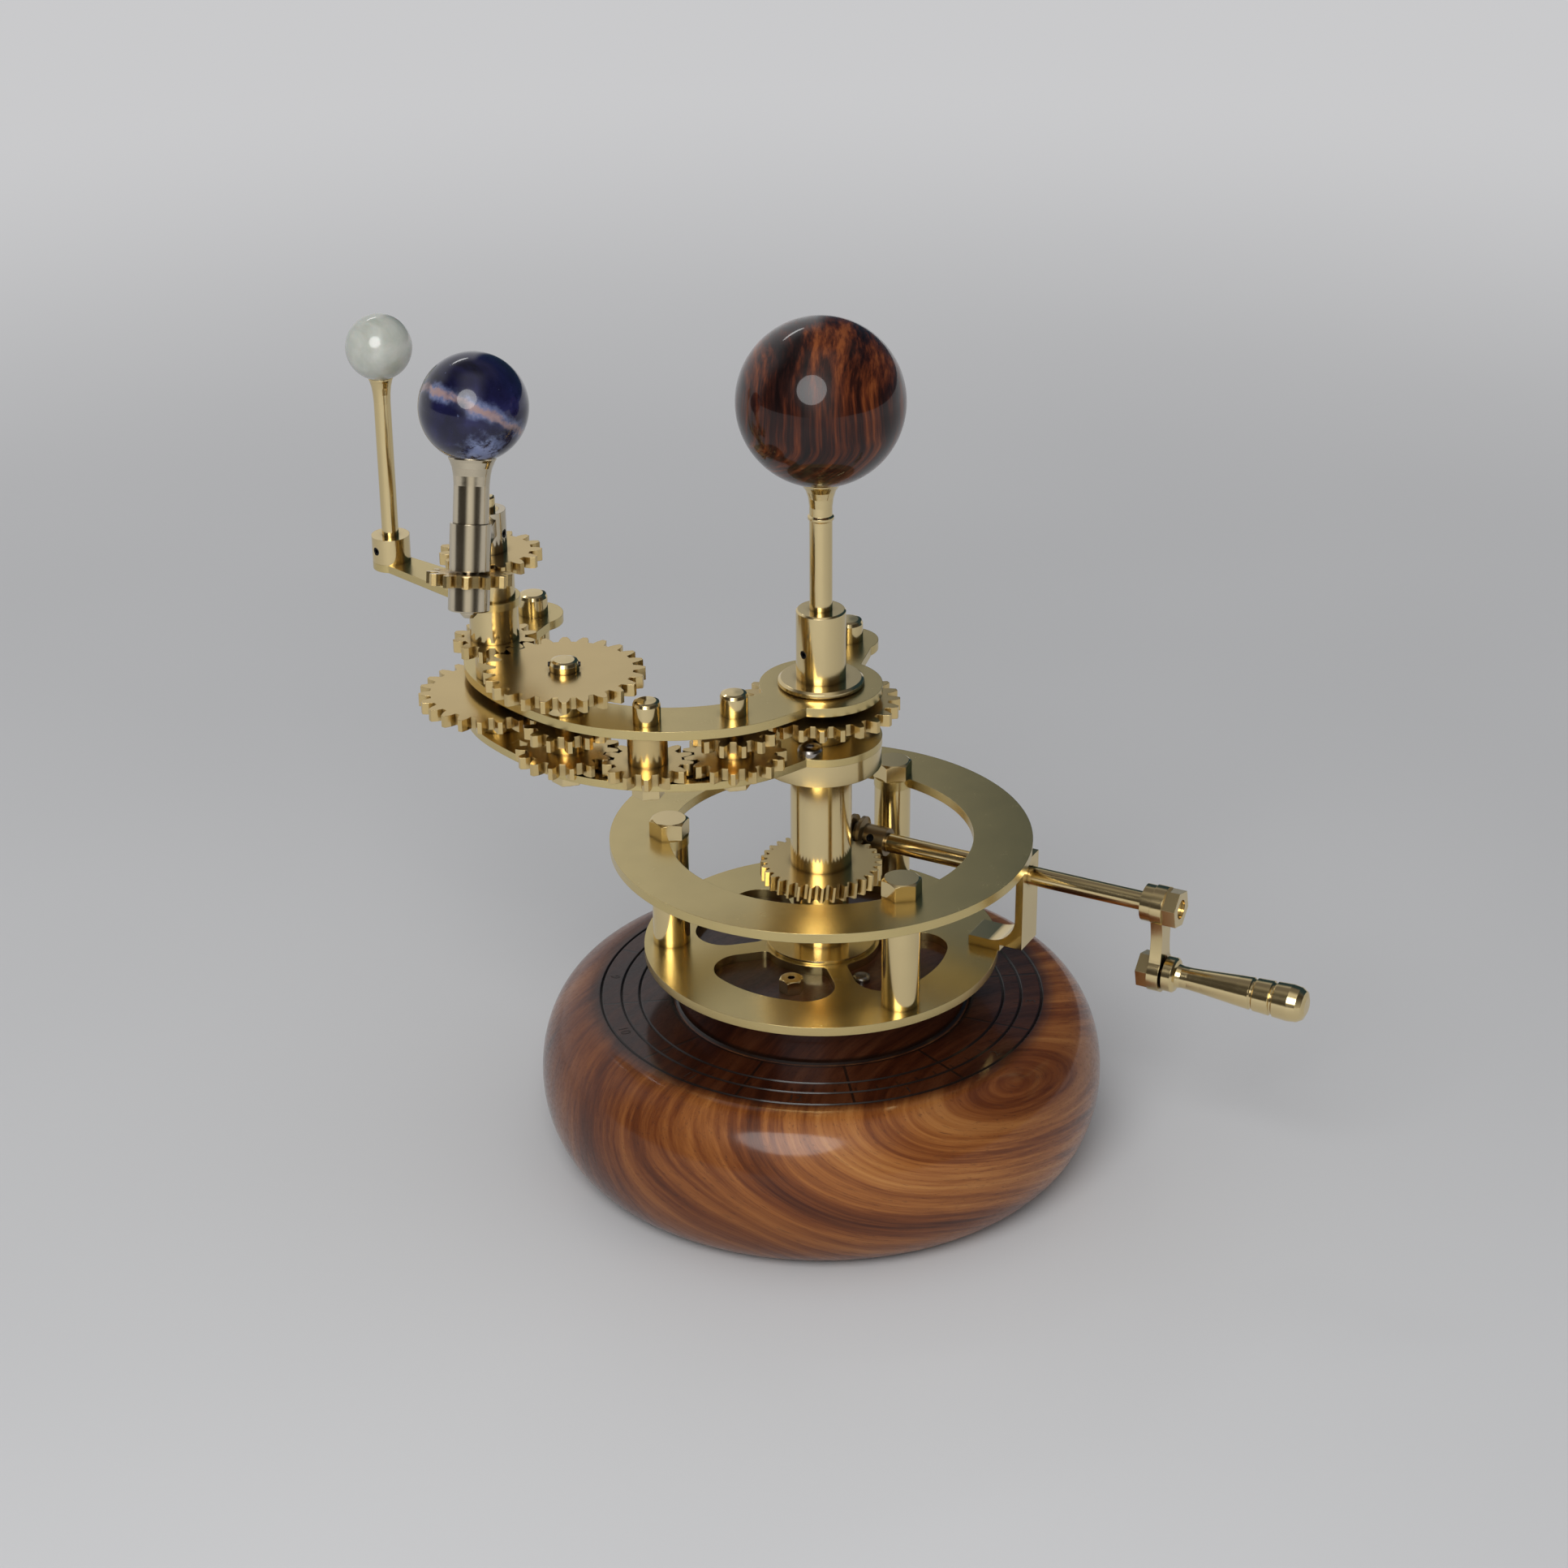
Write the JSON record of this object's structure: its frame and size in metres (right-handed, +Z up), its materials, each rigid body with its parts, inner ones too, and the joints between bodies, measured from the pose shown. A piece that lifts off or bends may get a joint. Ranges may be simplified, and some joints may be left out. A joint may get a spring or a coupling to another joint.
{
  "type": "desk orrery",
  "caption": "Hand-cranked desk orrery: a worm turns a geared arm that carries the Earth and Moon balls round a central Sun on a round wooden base.",
  "frame": {"origin": "centre of the underside of the wooden base", "axes": "+Z up along the main axis through the Sun, front of the instrument faces -Y, crank to +X, arm to -X"},
  "size_m": [0.231, 0.1422, 0.2174],
  "materials": {
    "base_wood": "lacquered",
    "plate_brass": "satin",
    "turned_brass": "polished",
    "gear_brass": "satin",
    "worm_brass": "dark",
    "nickel_silver": "polished",
    "screw_steel": "polished",
    "black_steel": "blackened",
    "sun_wood": "polished",
    "earth_stone": "polished stone",
    "moon_stone": "polished stone"
  },
  "bodies": {
    "base": {"wooden_base": "base_wood", "lower_plate": "plate_brass", "centre_bush": "turned_brass", "central_arbor": "screw_steel", "fixed_central_gear": "gear_brass", "pillars": "turned_brass", "pillar_bolts": "turned_brass", "upper_ring": "plate_brass", "shaft_bracket": "turned_brass", "worm_bearing_post": "turned_brass", "fixing_nut": "turned_brass", "fixing_screw": "screw_steel", "sun_washer": "turned_brass", "sun_collar": "turned_brass", "sun_set_screw": "black_steel", "sun_stem": "turned_brass", "sun_ball": "sun_wood"},
    "crank": {"crank_shaft": "turned_brass", "worm": "worm_brass", "worm_set_screw": "black_steel", "crank_collar": "turned_brass", "crank_arm": "turned_brass", "crank_nut": "turned_brass", "handle_screw": "turned_brass"},
    "handle": {"crank_handle": "turned_brass"},
    "arm": {"worm_wheel": "gear_brass", "column_tube": "turned_brass", "column_flange": "turned_brass", "lower_arm_plate": "plate_brass", "upper_arm_plate": "plate_brass", "arm_plate_screws": "screw_steel", "spacer_posts": "turned_brass", "post_caps": "turned_brass", "gear_pins": "turned_brass", "pin_nuts": "turned_brass", "cross_pin": "black_steel"},
    "arbor_1": {"gear_1_lower": "gear_brass", "gear_1_upper": "gear_brass"},
    "arbor_2": {"gear_2_idler": "gear_brass"},
    "arbor_3": {"gear_3_lower": "gear_brass", "gear_3_upper": "gear_brass", "gear_3_bush": "turned_brass", "gear_3_top": "gear_brass"},
    "moon_carrier": {"moon_hub_gear": "gear_brass", "moon_lower_tube": "turned_brass", "moon_upper_tube": "turned_brass", "moon_arm": "plate_brass", "moon_boss": "turned_brass", "moon_set_screw": "black_steel", "moon_stem": "turned_brass", "moon_ball": "moon_stone", "moon_top_gear": "gear_brass"},
    "earth_holder": {"station_gear": "gear_brass", "station_rod": "turned_brass", "earth_bracket": "nickel_silver", "bracket_set_screw": "black_steel"},
    "earth_spindle": {"spindle_gear": "gear_brass", "spindle_hub": "nickel_silver", "earth_stem": "nickel_silver", "earth_ball": "earth_stone"}
  },
  "joints": [
    {"name": "arm_turn", "type": "hinge", "parent": "base", "child": "arm", "pos_m": [0, 0, 0.1], "axis": [0, 0, 1], "continuous": true},
    {"name": "crank_turn", "type": "hinge", "parent": "base", "child": "crank", "pos_m": [0.00886, 0.01681, 0.076], "axis": [0.8846, -0.4664, 0], "continuous": true},
    {"name": "handle_spin", "type": "hinge", "parent": "crank", "child": "handle", "pos_m": [0.00886, 0.01681, 0.0577], "axis": [0.8846, -0.4664, 0], "continuous": true},
    {"name": "arbor_1_spin", "type": "hinge", "parent": "arm", "child": "arbor_1", "pos_m": [-0.02083, -0.01717, 0.1187], "axis": [0, 0, 1], "continuous": true},
    {"name": "arbor_2_spin", "type": "hinge", "parent": "arm", "child": "arbor_2", "pos_m": [-0.04136, -0.02161, 0.1187], "axis": [0, 0, 1], "continuous": true},
    {"name": "arbor_3_spin", "type": "hinge", "parent": "arm", "child": "arbor_3", "pos_m": [-0.0609, -0.01392, 0.1187], "axis": [0, 0, 1], "continuous": true},
    {"name": "moon_orbit", "type": "hinge", "parent": "arm", "child": "moon_carrier", "pos_m": [-0.07891, 0.0062, 0.1187], "axis": [0, 0, 1], "continuous": true},
    {"name": "earth_holder_turn", "type": "hinge", "parent": "arm", "child": "earth_holder", "pos_m": [-0.07891, 0.0062, 0.1187], "axis": [0, 0, 1], "continuous": true},
    {"name": "earth_spin", "type": "hinge", "parent": "earth_holder", "child": "earth_spindle", "pos_m": [-0.0823, -0.01343, 0.15912], "axis": [0.047, 0.266, 0.9628], "continuous": true}
  ],
  "couplings": [
    {"joint": "crank_turn", "follows": "arm_turn", "ratio": 32},
    {"joint": "arbor_1_spin", "follows": "arm_turn", "ratio": 2},
    {"joint": "arbor_2_spin", "follows": "arm_turn", "ratio": -2.3077},
    {"joint": "arbor_3_spin", "follows": "arm_turn", "ratio": 2},
    {"joint": "moon_orbit", "follows": "arm_turn", "ratio": -4},
    {"joint": "earth_holder_turn", "follows": "arm_turn", "ratio": -1},
    {"joint": "earth_spin", "follows": "arm_turn", "ratio": 3.75}
  ]
}
